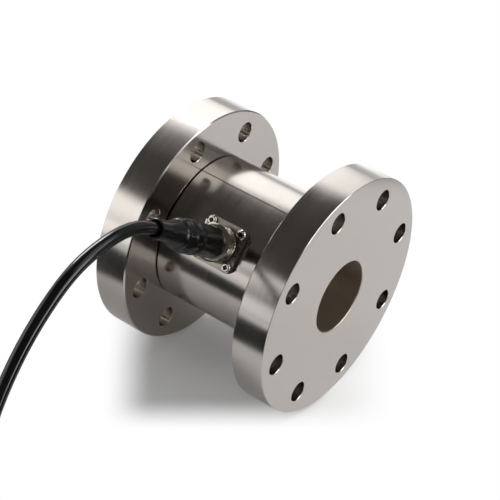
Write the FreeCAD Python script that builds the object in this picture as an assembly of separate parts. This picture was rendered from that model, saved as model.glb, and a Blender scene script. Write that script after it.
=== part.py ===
"""Static torque sensor: a flanged hollow torsion bar under a two-part sleeve, with a plug-in signal cable.

Millimetres. The sensor lies on the rims of its two flanges. X runs along its axis towards the front flange,
Z is up, and the origin is on the floor under the middle of the bar.
"""
import FreeCAD, Part
import math
import os

V = FreeCAD.Vector
X_AXIS = V(1, 0, 0)
Z_AXIS = V(0, 0, 1)
CUT_OVER = 1.0            # cutters run that far past what they cut

# Torsion body, turned from one bar
LENGTH = 85.0             # over both flange faces
FLANGE_OD = 105.0
FLANGE_T = 15.0
BORE_D = 32.0
BOLT_EDGE = 9.5           # from the flange's rim in to the bolt circle
BOLT_HOLE_D = 9.0
BOLT_HOLES = 8
BOLT_PHASE = 5.0          # degrees from the +Y side to the first hole
GAUGE_TUBE_D = 44.0       # the waist that twists
WAIST_FILLET = 4.0
RIM_CHAMFER = 0.5
BORE_CHAMFER = 1.0
HOLE_CHAMFER = 0.4

# Sleeve of two half shells
SLEEVE_OD = 64.5
SLEEVE_WALL = 2.2
SLEEVE_END_GAP = 0.4      # between the sleeve and each flange
SEAM_GAP = 0.4            # between the two halves
SEAM_LEAD = 43.5          # degrees from the upper seam to the connector
SLEEVE_CHAMFER = 0.25
SEAT_GAP = 0.05           # round each push fit
SLEEVE_SCREW_IN = 4.7     # from the flange's inner face to the sleeve screws
SLEEVE_SCREW_D = 2.5
SLEEVE_SCREW_HEAD_D = 4.6
SLEEVE_SCREW_HEAD_T = 1.3
SLEEVE_SCREW_LENGTH = 6.5
SLEEVE_SCREW_ROWS = 2     # places round the sleeve, at each end
TAP_SPARE = 1.0           # tapped depth beyond the screw's end
SEAL_D = 1.8              # section of the sealing rings
SEAL_GROOVE_W = 2.2
SEAL_LAND = 0.65          # metal between the screw holes and the sealing groove
HUB_LAND = 1.15           # metal between the sealing groove and the hub's end

# Strain gauges and their wiring on the waist
GAUGE_T = 0.2
GAUGE_LENGTH = 7.0
GAUGE_SPAN = 16.0         # degrees round the waist
GAUGE_SIDE = 90.0         # degrees from the connector to each pair
GAUGE_PLACE = 5.0         # from the middle to each gauge of a pair
BOARD_T = 0.8
BOARD_LENGTH = 15.0
BOARD_SPAN = 34.0
GAUGE_WIRE_D = 0.4

# Receptacle on its square flange; heights are counted from the sensor's axis
CONNECTOR_ANGLE = 136.5   # degrees from the +Y side, upwards
FLAT_DEPTH = 0.65         # of the flat milled on the sleeve
FLAT_MARGIN = 2.0         # of the flat, beyond the plate on each side
PLATE_T = 1.6
PLATE_CORNER_R = 2.4
GASKET_T = 0.6
SCREW_EDGE = 2.25         # from the screws out to the plate's edge
PLATE_SCREW_D = 2.0
PLATE_SCREW_HEAD_D = 4.2
PLATE_SCREW_HEAD_T = 1.3
PLATE_SCREW_GRIP = 4.0    # thread below the plate's top
CROSS_WIDTH = 0.55
CROSS_SPAN = 2.4
CROSS_DEPTH = 0.7
BARREL_D = 12.0
BARREL_WALL = 0.9
BARREL_RISE = 4.4         # above the plate
BACK_BARREL_STEP = 0.2    # the barrel behind the plate is that much thicker all round
RECEPTACLE_WIRE = 2.6     # from the terminal board up to the solder tails
INSERT_RISE = 2.5
PIN_COUNT = 5
PIN_CIRCLE_D = 4.4
PIN_D = 1.0
PIN_RISE = 6.4
SOLDER_TAIL = 1.4         # pin below the receptacle's back
BAYONET_STUDS = 3
BAYONET_TURN = 90.0       # degrees the ring turns from locked to free
STUD_D = 1.4
STUD_HEIGHT = 0.75
KEY_WIDTH = 1.2
KEY_DEPTH = 0.6
WIRE_D = 0.8

# Plug and its coupling ring
RING_WALL = 0.76          # round the race of the studs
RING_BACK_GAP = 0.8       # between the ring and the plate
RING_LIP_T = 1.0
RING_REAR_LIP_T = 0.9
RING_SHOULDER = 0.9       # slope on the ring's outer end
RUNNING_GAP = 0.3         # clear space round what turns
RING_FIT = 0.05           # running fit of the ring on the plug
KNURLS = 56
KNURL_DEPTH = 0.25
KNURL_LAND = 0.025        # how far the ring's own surface cuts back the crests
PLUG_FIT = 0.15           # round the plug's nose and key in the receptacle
PLUG_SEAL_T = 0.5
PLUG_NECK_WALL = 0.95     # of the neck that the ring turns on
PLUG_COLLAR_T = 0.8
PLUG_THREAD_WALL = 0.25   # of its rear end, at the bottom of the thread
PLUG_THREAD_LENGTH = 5.0
PLUG_NOSE_WALL = 0.6
PLUG_INSERT_DROP = 2.0    # the plug's insert ends that far inside its rear
SNAP_RING_T = 0.5
SNAP_RING_RISE = 0.7      # above the neck
SNAP_RING_MOUTH = 1.0
SOCKET_D = 1.8
SOCKET_DROP = 1.0         # the contacts end that far inside the plug's rear
BACKSHELL_WALL = 0.95     # round the thread
BACKSHELL_BARREL = 9.0
BACKSHELL_SLOPE = 1.5     # from the barrel down to the neck
BACKSHELL_STEP = 1.0      # from the thread in to the bore
BACKSHELL_NECK_WALL = 0.4
BACKSHELL_NECK = 6.5
GRIP_WALL = 1.05
GRIP_LENGTH = 6.0
GRIP_SUNK = 0.3
GRIP_SLOTS = 3
GRIP_SLOT_W = 0.6
GRIP_SLOT_LENGTH = 4.2

# Shrink boot
BOOT_WALL = 0.65          # over the backshell
BOOT_STRAIGHT = 21.0
BOOT_TAPER = 17.5
BOOT_TAPER_STEPS = 8
BOOT_NECK = 6.5
BOOT_MOUTH_GAP = 0.65     # open space round the cable
BOOT_MOUTH_WALL = 0.75
BOOT_INSIDE_TAPER = 5.0   # of the taper's inside, next to the straight mouth
BOOT_RIDGES = 3
BOOT_RIDGE_RISE = 0.4
BOOT_RIDGE_REACH = 1.3    # from a ridge's crest down to the plain surface
BOOT_RIDGE_PITCH = 6.0
BOOT_RIDGE_FIRST = 15.9   # from the wide end

# Cable
CABLE_D = 5.3
WIRE_FREE = 1.9           # from the plug's rear to the end of the jacket
CABLE_BEND = 101.0        # height of the route's first corner
CABLE_ROUTE = [           # hand-chosen corners after that one, (x, y, z) from the floor
    (0.0, -96.5, 125.6),
    (0.0, -114.5, 121.6),
    (0.5, -138.0, 107.3),
    (3.5, -160.0, 88.0),
    (9.5, -178.5, 62.5),
    (16.5, -193.5, 36.0),
    (24.0, -212.5, 12.5),
    (30.0, -236.0, CABLE_D / 2),
]
ARC_SHARE = 0.45          # of the shorter run, on each side of a corner

# Put-away coil on the floor
COIL_X = -4.0
COIL_Y = -252.0
COIL_MEAN_D = 60.0
COIL_ROWS = 3             # turns side by side, and layers
COIL_SLACK = 0.2
COIL_ROUND = 2.0
TIE_ANGLE = 200.0
TIE_W = 5.0
TIE_T = 1.0
TIE_HEAD = (5.0, 4.5, 2.4)
END_ANGLE = 108.0         # where the jacket ends on the coil
END_ROOM = 2.0            # degrees of free space past the longest core
SLEEVE_ARC = 38.0
END_SLEEVE_WALL = 0.35
CORE_ARC = 76.0
CORE_ARC_STEP = 5.0       # each core is cut a little shorter than the last
CORE_D = 1.2
CORE_GAP = 0.1
CORE_DROP = 1.8           # below the jacket's middle
CORES = ("core_red", "core_black", "core_green", "core_white")

AXIS_Z = FLANGE_OD / 2
HALF = LENGTH / 2
INNER_FACE = HALF - FLANGE_T
BOLT_CIRCLE = FLANGE_OD - 2 * BOLT_EDGE
SLEEVE_ID = SLEEVE_OD - 2 * SLEEVE_WALL
HUB_D = SLEEVE_ID - 2 * SEAT_GAP
SCREW_X = INNER_FACE - SLEEVE_SCREW_IN
SCREW_HOLE_D = SLEEVE_SCREW_D + 2 * SEAT_GAP
SEAL_X = SCREW_X - SCREW_HOLE_D / 2 - SEAL_LAND - SEAL_GROOVE_W / 2
SEAL_R = SLEEVE_ID / 2 - SEAT_GAP - SEAL_D / 2
HUB_END = SEAL_X - SEAL_GROOVE_W / 2 - HUB_LAND
FLAT_HEIGHT = SLEEVE_OD / 2 - FLAT_DEPTH
PLATE_BACK = FLAT_HEIGHT + GASKET_T
PLATE_TOP = PLATE_BACK + PLATE_T
BARREL_TOP = PLATE_TOP + BARREL_RISE
BARREL_ID = BARREL_D - 2 * BARREL_WALL
BACK_BARREL_D = BARREL_D + 2 * BACK_BARREL_STEP
BOARD_TOP = GAUGE_TUBE_D / 2 + BOARD_T
PIN_BACK = BOARD_TOP + RECEPTACLE_WIRE
SHELL_BACK = PIN_BACK + SOLDER_TAIL
INSERT_TOP = PLATE_TOP + INSERT_RISE
PIN_TOP = PLATE_TOP + PIN_RISE
COLLAR_BACK = BARREL_TOP + PLUG_SEAL_T
COLLAR_TOP = COLLAR_BACK + PLUG_COLLAR_T
RING_BACK = PLATE_TOP + RING_BACK_GAP
RACE_LOW = RING_BACK + RING_REAR_LIP_T
RACE_TOP = COLLAR_TOP + RUNNING_GAP
RING_TOP = RACE_TOP + RING_LIP_T
STUD_CENTRE = RACE_LOW + RUNNING_GAP + STUD_D / 2
STUD_REACH = BARREL_D / 2 + STUD_HEIGHT
RACE_R = math.hypot(STUD_REACH, STUD_D / 2) + RUNNING_GAP
RING_D = 2 * (RACE_R + RING_WALL)
SCREW_SPACING = math.sqrt(2) * (RING_D / 2 + RUNNING_GAP + PLATE_SCREW_HEAD_D / 2)
PLATE_SIDE = SCREW_SPACING + 2 * SCREW_EDGE
SNAP_BACK = RING_TOP + RUNNING_GAP
NECK_TOP = SNAP_BACK + 2 * SNAP_RING_T
PLUG_TOP = NECK_TOP + PLUG_THREAD_LENGTH
PLUG_NOSE_D = BARREL_ID - 2 * PLUG_FIT
PLUG_BORE_D = PLUG_NOSE_D - 2 * PLUG_NOSE_WALL
PLUG_NECK_D = PLUG_BORE_D + 2 * PLUG_NECK_WALL
PLUG_THREAD_D = PLUG_BORE_D + 2 * PLUG_THREAD_WALL
SNAP_RING_D = PLUG_NECK_D + 2 * SNAP_RING_RISE
NOSE_TIP = INSERT_TOP + RUNNING_GAP
SOCKET_TOP = PLUG_TOP - SOCKET_DROP
BACKSHELL_BACK = NECK_TOP + 2 * SEAT_GAP
BACKSHELL_D = PLUG_THREAD_D + 2 * (SEAT_GAP + BACKSHELL_WALL)
BACKSHELL_BORE_D = CABLE_D + 2 * (GRIP_WALL + 2 * SEAT_GAP)
BACKSHELL_NECK_D = BACKSHELL_BORE_D + 2 * BACKSHELL_NECK_WALL
NECK_START = BACKSHELL_BACK + BACKSHELL_BARREL
BACKSHELL_TOP = NECK_START + BACKSHELL_NECK
BOOT_D = BACKSHELL_D + 2 * (SEAT_GAP + BOOT_WALL)
BOOT_MOUTH_D = CABLE_D + 2 * (BOOT_MOUTH_GAP + BOOT_MOUTH_WALL)
BOOT_START = SNAP_BACK + SNAP_RING_T
TAPER_START = BOOT_START + BOOT_STRAIGHT
TAPER_END = TAPER_START + BOOT_TAPER
BOOT_MOUTH = TAPER_END + BOOT_NECK
CABLE_START = PLUG_TOP + WIRE_FREE
COIL_WIDTH = COIL_ROWS * CABLE_D + 2 * COIL_SLACK
COIL_INNER_R = COIL_MEAN_D / 2 - COIL_WIDTH / 2
COIL_HEIGHT = COIL_ROWS * CABLE_D
END_SLEEVE_D = CABLE_D + 2 * END_SLEEVE_WALL
CORE_PITCH = CORE_D + CORE_GAP


def polar(radius, degrees):
    """A point in the sensor's cross-section, as (y, z) from its axis."""
    return radius * math.cos(math.radians(degrees)), radius * math.sin(math.radians(degrees))


def revolved(points, axis, degrees=360):
    """A solid of revolution from (along, radius) corners, about X or Z."""
    if axis is X_AXIS:
        corners = [V(a, r, 0) for a, r in points]
    else:
        corners = [V(r, 0, a) for a, r in points]
    face = Part.Face(Part.makePolygon(corners + corners[:1]))
    return face.revolve(V(0, 0, 0), axis, degrees)


def rod(diameter, start, end, x=0.0, y=0.0):
    """A round bar along Z."""
    return Part.makeCylinder(diameter / 2, end - start, V(x, y, start), Z_AXIS)


def tube(outer, inner, start, end):
    return rod(outer, start, end).cut(rod(inner, start, end))


def block(size_x, size_y, low, high):
    """A box centred on the Z axis, between two heights."""
    return Part.makeBox(size_x, size_y, high - low, V(-size_x / 2, -size_y / 2, low))


def raised(shape):
    """From the sensor's own axis up to its place over the floor."""
    moved = shape.copy()
    moved.translate(V(0, 0, AXIS_Z))
    return moved


def around(shape, degrees):
    """Turned about the sensor's axis, so that +Z points in that direction."""
    turned = shape.copy()
    turned.rotate(V(0, 0, 0), X_AXIS, degrees - 90)
    return turned


def on_connector(shape):
    """From a connector drawn upright on the Z axis to its place on the sensor."""
    return raised(around(shape, CONNECTOR_ANGLE))


def joined(shapes):
    result = shapes[0]
    for shape in shapes[1:]:
        result = result.fuse(shape)
    return result.removeSplitter()


def group(shapes):
    return Part.makeCompound(shapes)


def spaced_round(shape, count, first=0.0):
    """Copies of a shape evenly round the Z axis, from a first angle."""
    copies = []
    for i in range(count):
        turned = shape.copy()
        turned.rotate(V(0, 0, 0), Z_AXIS, first + i * 360.0 / count)
        copies.append(turned)
    return copies


def chamfered_hole(diameter, start, end, chamfer):
    """The cutter of a hole along X with a small chamfer at both mouths."""
    radius = diameter / 2
    low = start - CUT_OVER
    high = end + CUT_OVER
    wide = radius + chamfer + CUT_OVER
    return revolved([
        (low, 0), (low, wide), (start + chamfer, radius), (end - chamfer, radius), (high, wide), (high, 0),
    ], X_AXIS)


def seal_groove(x):
    floor = SEAL_R - SEAL_D / 2 - SEAT_GAP
    low = x - SEAL_GROOVE_W / 2
    high = x + SEAL_GROOVE_W / 2
    return revolved([(low, floor), (high, floor), (high, HUB_D), (low, HUB_D)], X_AXIS)


def sleeve_screw_angles():
    step = 360.0 / SLEEVE_SCREW_ROWS
    return [CONNECTOR_ANGLE + step * i for i in range(SLEEVE_SCREW_ROWS)]


def sleeve_screw_places():
    return [(x, angle) for x in (-SCREW_X, SCREW_X) for angle in sleeve_screw_angles()]


def torsion_body():
    """Both flanges, the hubs and the thin waist between them, with the bore right through."""
    rim = FLANGE_OD / 2
    hub = HUB_D / 2
    waist = GAUGE_TUBE_D / 2
    profile = [
        (-HALF, 0), (-HALF, rim), (-INNER_FACE, rim), (-INNER_FACE, hub), (-HUB_END, hub), (-HUB_END, waist),
    ]
    profile += [(-x, r) for x, r in reversed(profile)]
    body = revolved(profile, X_AXIS)
    roots = [e for e in body.Edges if is_ring(e, HUB_END, waist)]
    body = body.makeFillet(WAIST_FILLET, roots)
    rims = [e for e in body.Edges if is_ring(e, HALF, rim) or is_ring(e, INNER_FACE, rim)]
    body = body.makeChamfer(RIM_CHAMFER, rims)
    body = body.cut(chamfered_hole(BORE_D, -HALF, HALF, BORE_CHAMFER))
    cutters = []
    for start, end in ((-HALF, -INNER_FACE), (INNER_FACE, HALF)):
        hole = chamfered_hole(BOLT_HOLE_D, start, end, HOLE_CHAMFER)
        for i in range(BOLT_HOLES):
            y, z = polar(BOLT_CIRCLE / 2, BOLT_PHASE + i * 360.0 / BOLT_HOLES)
            cutters.append(hole.translated(V(0, y, z)))
    for x in (-SEAL_X, SEAL_X):
        cutters.append(seal_groove(x))
    tapped = rod(SCREW_HOLE_D, SLEEVE_OD / 2 - SLEEVE_SCREW_LENGTH - TAP_SPARE, SLEEVE_OD)
    for x, angle in sleeve_screw_places():
        cutters.append(around(tapped.translated(V(x, 0, 0)), angle))
    return raised(body.cut(cutters))


def is_ring(edge, x, radius):
    """Whether an edge is the circle of that radius at plus or minus x."""
    curve = edge.Curve
    if not isinstance(curve, Part.Circle):
        return False
    return abs(abs(curve.Center.x) - x) < 0.01 and abs(curve.Radius - radius) < 0.01


def seam_angles():
    upper = CONNECTOR_ANGLE - SEAM_LEAD
    return upper, upper + 180


def sleeve_ring():
    """The whole sleeve before it is split, with its countersunk screw holes."""
    outer = SLEEVE_OD / 2
    inner = SLEEVE_ID / 2
    end = INNER_FACE - SLEEVE_END_GAP
    c = SLEEVE_CHAMFER
    ring = revolved([
        (-end, inner), (-end, outer - c), (-end + c, outer), (end - c, outer), (end, outer - c), (end, inner),
    ], X_AXIS)
    cutters = []
    for x, angle in sleeve_screw_places():
        cutters.append(around(countersink(x), angle))
    return ring.cut(cutters)


def countersink(x):
    """Cutter of a countersunk hole, upright over the axis at x, its cone running on past the surface."""
    shank = SCREW_HOLE_D / 2
    low = SLEEVE_OD / 2 - SLEEVE_SCREW_HEAD_T - SEAT_GAP
    top = SLEEVE_OD / 2 + CUT_OVER
    bottom = SLEEVE_ID / 2 - CUT_OVER
    slope = (SLEEVE_SCREW_HEAD_D - SLEEVE_SCREW_D) / 2 / SLEEVE_SCREW_HEAD_T
    wide = shank + (top - low) * slope
    cut = revolved([(top, 0), (top, wide), (low, shank), (bottom, shank), (bottom, 0)], Z_AXIS)
    return cut.translated(V(x, 0, 0))


def half_space(angle):
    """A block on the side of the seam plane below that angle, half a seam gap away from it."""
    size = 2 * FLANGE_OD
    side = Part.makeBox(size, size, size, V(-size / 2, SEAM_GAP / 2, -size / 2))
    return around(side, angle)


def sleeve_halves():
    ring = sleeve_ring()
    upper = seam_angles()[0]
    plain = ring.common(half_space(upper))
    socket_side = ring.common(half_space(upper + 180))
    flat = block(PLATE_SIDE + 2 * FLAT_MARGIN, SLEEVE_OD, FLAT_HEIGHT, SLEEVE_OD)
    opening = rod(BACK_BARREL_D + 2 * SEAT_GAP, FLAT_HEIGHT - 2 * SLEEVE_WALL, SLEEVE_OD)
    cutters = [flat, opening] + plate_screw_holes()
    socket_side = socket_side.cut([around(c, CONNECTOR_ANGLE) for c in cutters])
    return raised(socket_side), raised(plain)


def plate_screw_places():
    half = SCREW_SPACING / 2
    return [(sx * half, sy * half) for sx in (-1, 1) for sy in (-1, 1)]


def plate_screw_hole(x, y):
    low = PLATE_TOP - PLATE_SCREW_GRIP - CUT_OVER
    return rod(PLATE_SCREW_D + 2 * SEAT_GAP, low, PLATE_TOP + CUT_OVER, x, y)


def plate_screw_holes():
    return [plate_screw_hole(x, y) for x, y in plate_screw_places()]


def sleeve_screws():
    """Countersunk screws that hold the halves on the hubs, heads flush with the sleeve."""
    top = SLEEVE_OD / 2 - SEAT_GAP
    head = SLEEVE_SCREW_HEAD_D / 2
    shank = SLEEVE_SCREW_D / 2
    screw = revolved([
        (top, 0), (top, head), (top - SLEEVE_SCREW_HEAD_T, shank), (top - SLEEVE_SCREW_LENGTH, shank),
        (top - SLEEVE_SCREW_LENGTH, 0),
    ], Z_AXIS)
    screw = screw.cut(cross_recess(top))
    return group([raised(around(screw.translated(V(x, 0, 0)), angle)) for x, angle in sleeve_screw_places()])


def cross_recess(top):
    """A cross of two slots sunk from the top of a screw head."""
    one = block(CROSS_SPAN, CROSS_WIDTH, top - CROSS_DEPTH, top + CUT_OVER)
    other = block(CROSS_WIDTH, CROSS_SPAN, top - CROSS_DEPTH, top + CUT_OVER)
    return one.fuse(other)


def sealing_ring(x):
    return raised(Part.makeTorus(SEAL_R, SEAL_D / 2, V(x, 0, 0), X_AXIS))


def waist_pad(thickness, length, span, x, angle):
    """A thin pad bonded round part of the waist."""
    inner = GAUGE_TUBE_D / 2
    profile = [
        (x - length / 2, inner), (x + length / 2, inner),
        (x + length / 2, inner + thickness), (x - length / 2, inner + thickness),
    ]
    pad = revolved(profile, X_AXIS, span)
    return raised(around(pad, 90 + angle - span / 2))


def strain_gauges():
    pads = []
    for side in (-GAUGE_SIDE, GAUGE_SIDE):
        for x in (-GAUGE_PLACE, GAUGE_PLACE):
            pads.append(waist_pad(GAUGE_T, GAUGE_LENGTH, GAUGE_SPAN, x, CONNECTOR_ANGLE + side))
    return group(pads)


def terminal_board():
    return waist_pad(BOARD_T, BOARD_LENGTH, BOARD_SPAN, 0, CONNECTOR_ANGLE)


def gauge_wires():
    """One fine wire from each gauge round the waist to the terminal board."""
    radius = GAUGE_TUBE_D / 2 + GAUGE_WIRE_D / 2 + SEAT_GAP
    start = BOARD_SPAN / 2
    span = GAUGE_SIDE - GAUGE_SPAN / 2 - start
    wires = []
    for first in (CONNECTOR_ANGLE + start, CONNECTOR_ANGLE - start - span):
        for x in (-GAUGE_PLACE, GAUGE_PLACE):
            section = Part.Face(Part.Wire(Part.makeCircle(GAUGE_WIRE_D / 2, V(x, radius, 0), Z_AXIS)))
            arc = section.revolve(V(0, 0, 0), X_AXIS, span)
            wires.append(raised(around(arc, 90 + first)))
    return group(wires)


def rounded_square(side, corner, low, high):
    plate = block(side, side, low, high)
    uprights = [e for e in plate.Edges if abs(e.tangentAt(e.FirstParameter).z) > 0.9]
    return plate.makeFillet(corner, uprights)


def receptacle_gasket():
    gasket = rounded_square(PLATE_SIDE, PLATE_CORNER_R, FLAT_HEIGHT, PLATE_BACK)
    opening = rod(BACK_BARREL_D + 2 * SEAT_GAP, FLAT_HEIGHT - CUT_OVER, PLATE_TOP)
    return on_connector(gasket.cut([opening] + plate_screw_holes()))


def receptacle_shell():
    """Square flange with the mating barrel in front and the solder barrel behind."""
    plate = rounded_square(PLATE_SIDE, PLATE_CORNER_R, PLATE_BACK, PLATE_TOP)
    front = rod(BARREL_D, PLATE_TOP, BARREL_TOP)
    back = rod(BACK_BARREL_D, SHELL_BACK, PLATE_BACK)
    start = BARREL_D / 2 - BARREL_WALL / 2
    stud = Part.makeCylinder(STUD_D / 2, STUD_REACH - start, V(start, 0, STUD_CENTRE), X_AXIS)
    studs = spaced_round(stud, BAYONET_STUDS)
    shell = joined([plate, front, back] + studs)
    bore = rod(BARREL_ID, SHELL_BACK - CUT_OVER, BARREL_TOP + CUT_OVER)
    keyway = Part.makeBox(BARREL_ID / 2 + KEY_DEPTH, KEY_WIDTH, BARREL_TOP, V(0, -KEY_WIDTH / 2, INSERT_TOP))
    return on_connector(shell.cut([bore, keyway] + plate_screw_holes()))


def pin_places():
    places = []
    for i in range(PIN_COUNT):
        places.append(polar(PIN_CIRCLE_D / 2, i * 360.0 / PIN_COUNT))
    return places


def receptacle_insert():
    insert = rod(BARREL_ID - 2 * SEAT_GAP, SHELL_BACK, INSERT_TOP)
    hole = rod(PIN_D + 2 * SEAT_GAP, SHELL_BACK - CUT_OVER, INSERT_TOP + CUT_OVER)
    return on_connector(insert.cut([hole.translated(V(x, y, 0)) for x, y in pin_places()]))


def receptacle_pins():
    return group([on_connector(rod(PIN_D, PIN_BACK, PIN_TOP, x, y)) for x, y in pin_places()])


def receptacle_wires():
    """Short wires from the solder tails down to the terminal board."""
    return group([on_connector(rod(WIRE_D, BOARD_TOP, PIN_BACK, x, y)) for x, y in pin_places()])


def plate_screws():
    """Pan-head cross-recess screws through the square flange."""
    screws = []
    head_r = PLATE_SCREW_HEAD_D / 2
    top = PLATE_TOP + PLATE_SCREW_HEAD_T
    soft = PLATE_SCREW_HEAD_T / 2
    profile = [
        (PLATE_TOP - PLATE_SCREW_GRIP, 0), (PLATE_TOP - PLATE_SCREW_GRIP, PLATE_SCREW_D / 2),
        (PLATE_TOP, PLATE_SCREW_D / 2), (PLATE_TOP, head_r), (top - soft, head_r),
        (top - soft / 3, head_r - soft / 2), (top, head_r - soft), (top, 0),
    ]
    screw = revolved(profile, Z_AXIS).cut(cross_recess(top))
    for x, y in plate_screw_places():
        screws.append(on_connector(screw.translated(V(x, y, 0))))
    return group(screws)


def coupling_ring():
    """Knurled ring that turns on the plug and locks over the receptacle's three studs."""
    outer = RING_D / 2
    barrel_gap = BARREL_D / 2 + RUNNING_GAP
    neck = PLUG_NECK_D / 2 + RING_FIT
    ring = revolved([
        (RING_BACK, barrel_gap), (RING_BACK, outer - KNURL_DEPTH), (RING_BACK + KNURL_DEPTH, outer),
        (RING_TOP - RING_SHOULDER, outer), (RING_TOP, outer - RING_SHOULDER), (RING_TOP, neck),
        (RACE_TOP, neck), (RACE_TOP, RACE_R), (RACE_LOW, RACE_R), (RACE_LOW, barrel_gap),
    ], Z_AXIS)
    width = STUD_D + 2 * RUNNING_GAP
    entry = Part.makeBox(RACE_R, width, STUD_CENTRE - RING_BACK, V(0, -width / 2, RING_BACK - STUD_D / 2))
    entries = spaced_round(entry, BAYONET_STUDS, -BAYONET_TURN)
    return on_connector(ring.cut(entries).cut(knurl_cutter()))


def knurl_cutter():
    """Everything outside a fine saw-tooth outline, over the knurled length."""
    outer = RING_D / 2
    low = RING_BACK + 2 * KNURL_DEPTH
    high = RING_TOP - RING_SHOULDER - KNURL_DEPTH
    corners = []
    for i in range(2 * KNURLS):
        radius = outer + KNURL_LAND if i % 2 else outer - KNURL_DEPTH
        x, y = polar(radius, i * 180.0 / KNURLS)
        corners.append(V(x, y, low))
    teeth = Part.Face(Part.makePolygon(corners + corners[:1])).extrude(V(0, 0, high - low))
    return rod(RING_D + 2, low, high).cut(teeth)


def plug_shell():
    """Nose inside the receptacle, collar behind the ring's lip, neck for the ring and rear thread."""
    nose = PLUG_NOSE_D / 2
    collar = BARREL_D / 2 + RUNNING_GAP
    neck = PLUG_NECK_D / 2
    thread = PLUG_THREAD_D / 2
    bore = PLUG_BORE_D / 2
    groove = neck - SNAP_RING_T
    snap_top = SNAP_BACK + SNAP_RING_T
    shell = revolved([
        (NOSE_TIP, bore), (NOSE_TIP, nose), (COLLAR_BACK, nose), (COLLAR_BACK, collar), (COLLAR_TOP, collar),
        (COLLAR_TOP, neck), (SNAP_BACK, neck), (SNAP_BACK, groove), (snap_top, groove), (snap_top, neck),
        (NECK_TOP, neck), (NECK_TOP, thread), (PLUG_TOP, thread), (PLUG_TOP, bore),
    ], Z_AXIS)
    width = KEY_WIDTH - 2 * PLUG_FIT
    reach = BARREL_ID / 2 + KEY_DEPTH - PLUG_FIT
    key = Part.makeBox(reach, width, BARREL_TOP - NOSE_TIP, V(0, -width / 2, NOSE_TIP))
    key = key.cut(rod(PLUG_NOSE_D - PLUG_NOSE_WALL, NOSE_TIP - CUT_OVER, COLLAR_TOP))
    return on_connector(joined([shell, key]))


def snap_ring():
    """Open spring ring that keeps the coupling ring on the plug."""
    inner = PLUG_NECK_D - 2 * SNAP_RING_T + 2 * SEAT_GAP
    ring = tube(SNAP_RING_D, inner, SNAP_BACK + SEAT_GAP, SNAP_BACK + SNAP_RING_T - SEAT_GAP)
    mouth = Part.makeBox(SNAP_RING_D, SNAP_RING_MOUTH, SNAP_RING_T, V(0, -SNAP_RING_MOUTH / 2, SNAP_BACK))
    return on_connector(ring.cut(mouth))


def plug_insert():
    insert = rod(PLUG_BORE_D - 2 * SEAT_GAP, NOSE_TIP, PLUG_TOP - PLUG_INSERT_DROP)
    holes = [rod(SOCKET_D + 2 * SEAT_GAP, NOSE_TIP - CUT_OVER, PLUG_TOP, x, y) for x, y in pin_places()]
    return on_connector(insert.cut(holes))


def plug_sockets():
    """Contacts that take the receptacle's pins, with a solder cup behind."""
    sockets = []
    for x, y in pin_places():
        body = rod(SOCKET_D, NOSE_TIP, SOCKET_TOP, x, y)
        mouth = rod(PIN_D + 2 * SEAT_GAP, NOSE_TIP - CUT_OVER, PIN_TOP + SEAT_GAP, x, y)
        sockets.append(on_connector(body.cut(mouth)))
    return group(sockets)


def plug_wires():
    return group([on_connector(rod(WIRE_D, SOCKET_TOP, CABLE_START, x, y)) for x, y in pin_places()])


def plug_seal():
    """Soft washer pressed between the end of the receptacle's barrel and the plug's collar."""
    return on_connector(tube(BARREL_D, PLUG_NOSE_D + 2 * SEAT_GAP, BARREL_TOP, COLLAR_BACK))


def backshell():
    """Screws on the plug's rear thread and holds the cable grip."""
    outer = BACKSHELL_D / 2
    thread = PLUG_THREAD_D / 2 + SEAT_GAP
    neck = BACKSHELL_NECK_D / 2
    bore = BACKSHELL_BORE_D / 2
    shoulder = PLUG_TOP + SEAT_GAP
    return on_connector(revolved([
        (BACKSHELL_BACK, thread), (BACKSHELL_BACK, outer), (NECK_START - BACKSHELL_SLOPE, outer),
        (NECK_START, neck), (BACKSHELL_TOP, neck), (BACKSHELL_TOP, bore),
        (shoulder + BACKSHELL_STEP, bore), (shoulder, thread),
    ], Z_AXIS))


def cable_grip():
    """Split collet between the backshell and the cable's jacket."""
    high = BACKSHELL_TOP - GRIP_SUNK
    grip = tube(BACKSHELL_BORE_D - 2 * SEAT_GAP, CABLE_D + 2 * SEAT_GAP, high - GRIP_LENGTH, high)
    start = V(0, -GRIP_SLOT_W / 2, high - GRIP_SLOT_LENGTH)
    slot = Part.makeBox(BACKSHELL_D, GRIP_SLOT_W, GRIP_LENGTH, start)
    return on_connector(grip.cut(spaced_round(slot, GRIP_SLOTS)))


def boot_plain_r(height):
    """The boot's outer radius between its ridges: wide, then down to the mouth."""
    share = min(max((height - TAPER_START) / BOOT_TAPER, 0.0), 1.0)
    narrowing = (1 - math.cos(math.pi * share)) / 2
    return BOOT_D / 2 + (BOOT_MOUTH_D - BOOT_D) / 2 * narrowing


def boot_outside():
    """The boot's outline with its soft ridges, in order of height."""
    crests = [BOOT_START + BOOT_RIDGE_FIRST + i * BOOT_RIDGE_PITCH for i in range(BOOT_RIDGES)]
    heights = [TAPER_START + BOOT_TAPER * i / BOOT_TAPER_STEPS for i in range(BOOT_TAPER_STEPS + 1)]
    heights = [BOOT_START] + heights + [BOOT_MOUTH]
    outside = [(h, boot_plain_r(h)) for h in heights if min(abs(h - c) for c in crests) > BOOT_RIDGE_REACH]
    for crest in crests:
        outside.append((crest, boot_plain_r(crest) + BOOT_RIDGE_RISE))
        for foot in (crest - BOOT_RIDGE_REACH, crest + BOOT_RIDGE_REACH):
            outside.append((foot, boot_plain_r(foot)))
    return sorted(outside)


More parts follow.
